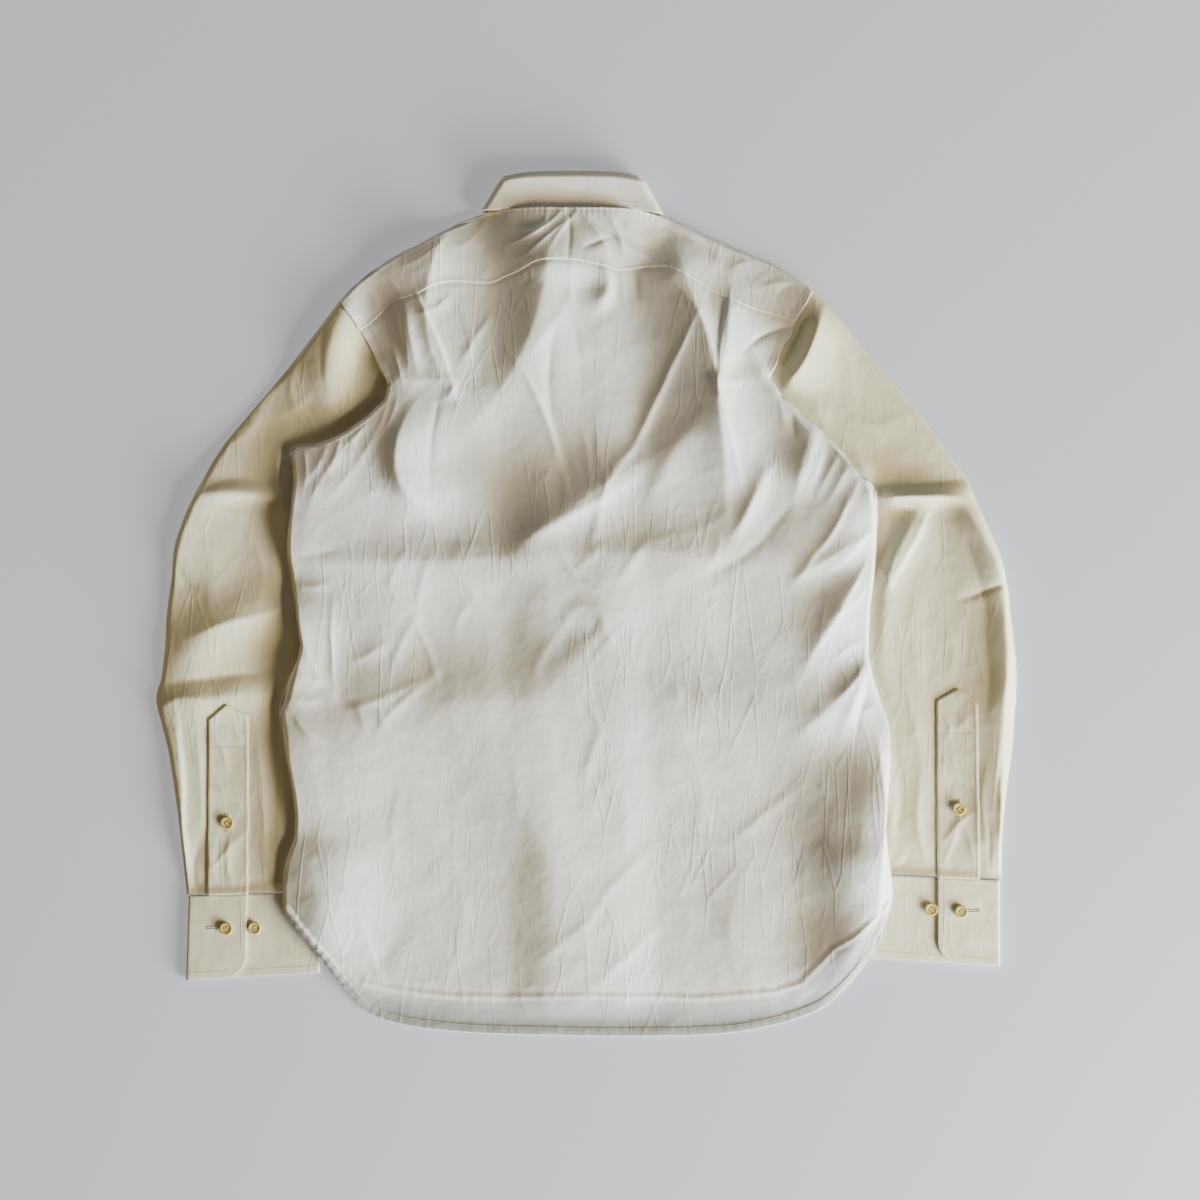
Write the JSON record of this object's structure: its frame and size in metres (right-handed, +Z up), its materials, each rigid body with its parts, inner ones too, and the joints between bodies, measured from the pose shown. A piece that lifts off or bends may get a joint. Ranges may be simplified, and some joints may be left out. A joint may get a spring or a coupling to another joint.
{
  "type": "long-sleeved button-up shirt, laid flat face down",
  "caption": "Creased long-sleeved button-up shirt laid face down: split yoke, folded collar, button cuffs, sleeves folded back under the sides.",
  "frame": {"origin": "middle of the shirt's outline, on the surface that it lies on", "axes": "+Z up from the surface, +Y towards the collar, +X towards the wearer's right-hand sleeve"},
  "size_m": [0.7692, 0.7738, 0.0303],
  "materials": {
    "cotton": "soft matt ivory poplin",
    "button": "smooth pearly cream"
  },
  "bodies": {
    "root": {"back_panel": "cotton", "yoke_left": "cotton", "yoke_right": "cotton", "front_left": "cotton", "front_right": "cotton", "front_placket": "cotton", "collar_leaf": "cotton", "collar_stand": "cotton", "sleeve_left": "cotton", "sleeve_right": "cotton", "sleeve_placket_left": "cotton", "sleeve_placket_right": "cotton", "cuff_left": "cotton", "cuff_right": "cotton", "collar_button": "button", "cuff_button_left_1": "button", "cuff_button_left_2": "button", "cuff_button_right_1": "button", "cuff_button_right_2": "button", "front_button_1": "button", "front_button_2": "button", "front_button_3": "button", "front_button_4": "button", "front_button_5": "button", "front_button_6": "button", "front_button_7": "button", "sleeve_button_left": "button", "sleeve_button_right": "button"}
  },
  "joints": []
}
